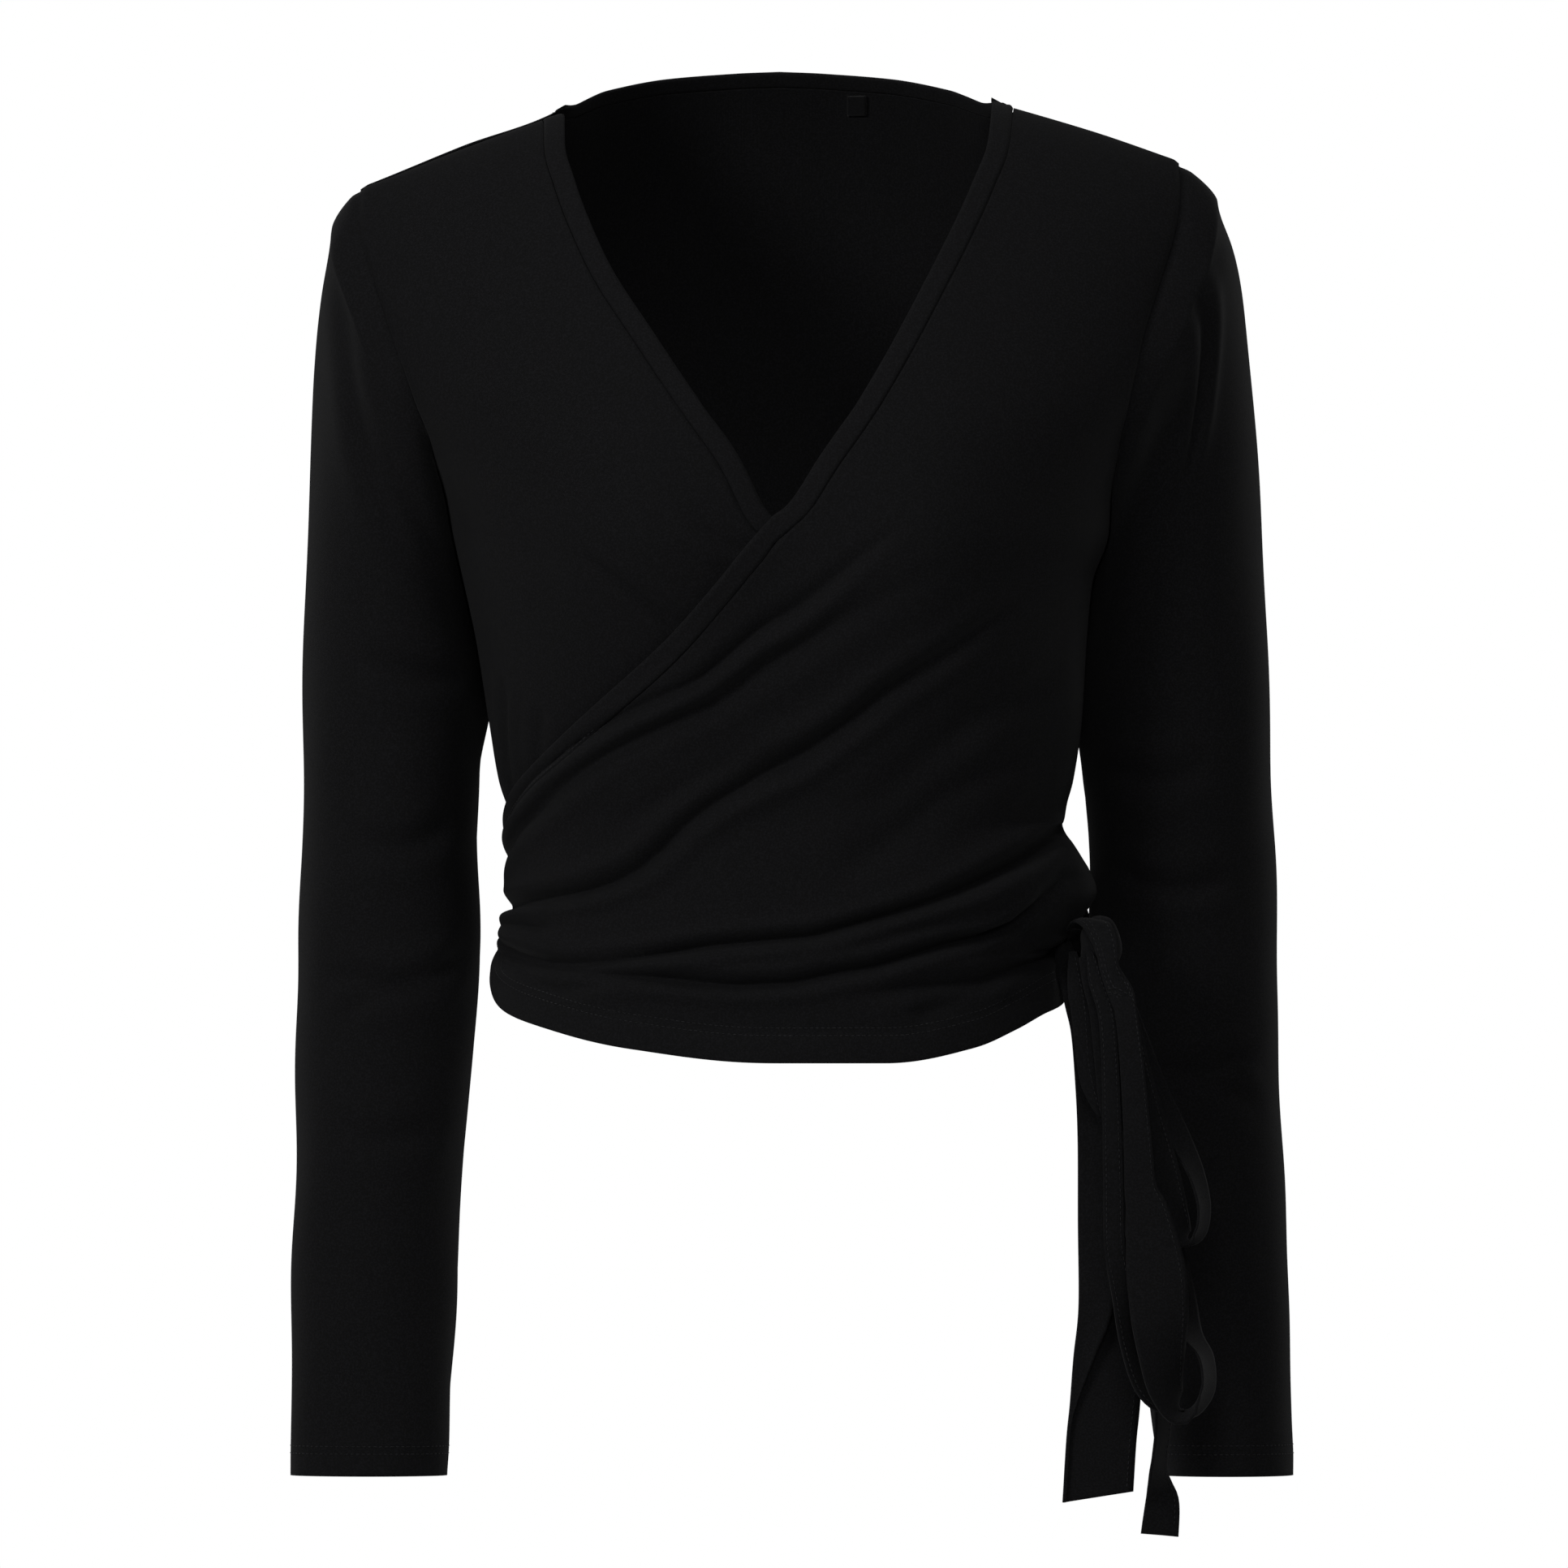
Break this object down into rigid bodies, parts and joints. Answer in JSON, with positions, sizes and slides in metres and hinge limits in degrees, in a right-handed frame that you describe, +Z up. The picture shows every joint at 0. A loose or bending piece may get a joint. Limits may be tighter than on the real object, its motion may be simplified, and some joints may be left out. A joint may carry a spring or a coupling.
{
  "type": "wrap top",
  "caption": "Worn, hollow long-sleeved wrap top of fine jersey with crossed fronts, a bound V neckline and a strap tie bowed at the side.",
  "frame": {"origin": "Midway between the two points where the shoulder seams meet the neckline, where the top hangs on the wearer's shoulders", "axes": "+Z up, -Y out of the front, +X to the right as the front is looked at"},
  "size_m": [0.4702, 0.2199, 0.6865],
  "materials": {
    "jersey": "black fine single jersey, matt, with a soft short nap",
    "binding": "black jersey binding, matt, with a twin-needle row",
    "tie": "black jersey strap with turned and stitched edges",
    "tape": "black woven tape with a slight sheen"
  },
  "bodies": {
    "root": {"back_panel": "jersey", "front_under": "jersey", "front_over": "jersey", "sleeve_left": "jersey", "sleeve_right": "jersey", "band_back": "binding", "band_under": "binding", "band_over": "binding", "tie_back": "tie", "tie_side": "tie", "tie_knot": "tie", "tie_loop_upper": "tie", "tie_loop_lower": "tie", "tie_tail_broad": "tie", "tie_tail_narrow": "tie", "neck_tab": "tape"}
  },
  "joints": []
}
